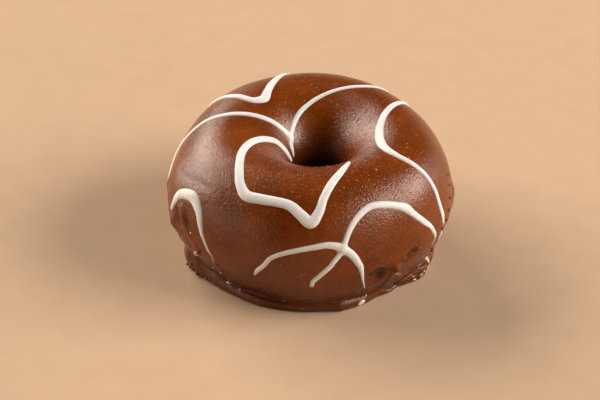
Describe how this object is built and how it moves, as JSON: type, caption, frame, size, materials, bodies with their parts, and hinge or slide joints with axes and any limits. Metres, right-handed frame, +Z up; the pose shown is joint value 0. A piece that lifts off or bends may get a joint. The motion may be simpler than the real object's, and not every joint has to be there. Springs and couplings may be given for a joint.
{
  "type": "mini doughnut",
  "caption": "Small ring doughnut with an uneven chocolate coat, a spread foot and raised wavy icing lines over its top and side.",
  "frame": {"origin": "centre of the bounding box at the flat underside, on the floor", "axes": "+Z up through the hole, -Y towards the side that the picture shows, +X to that view's right"},
  "size_m": [0.06, 0.061, 0.0288],
  "materials": {
    "chocolate": "satin chocolate coat",
    "icing": "satin white icing",
    "crumb": "dry pale crumbs and sugar specks"
  },
  "bodies": {
    "root": {"doughnut": "chocolate"}
  },
  "joints": []
}
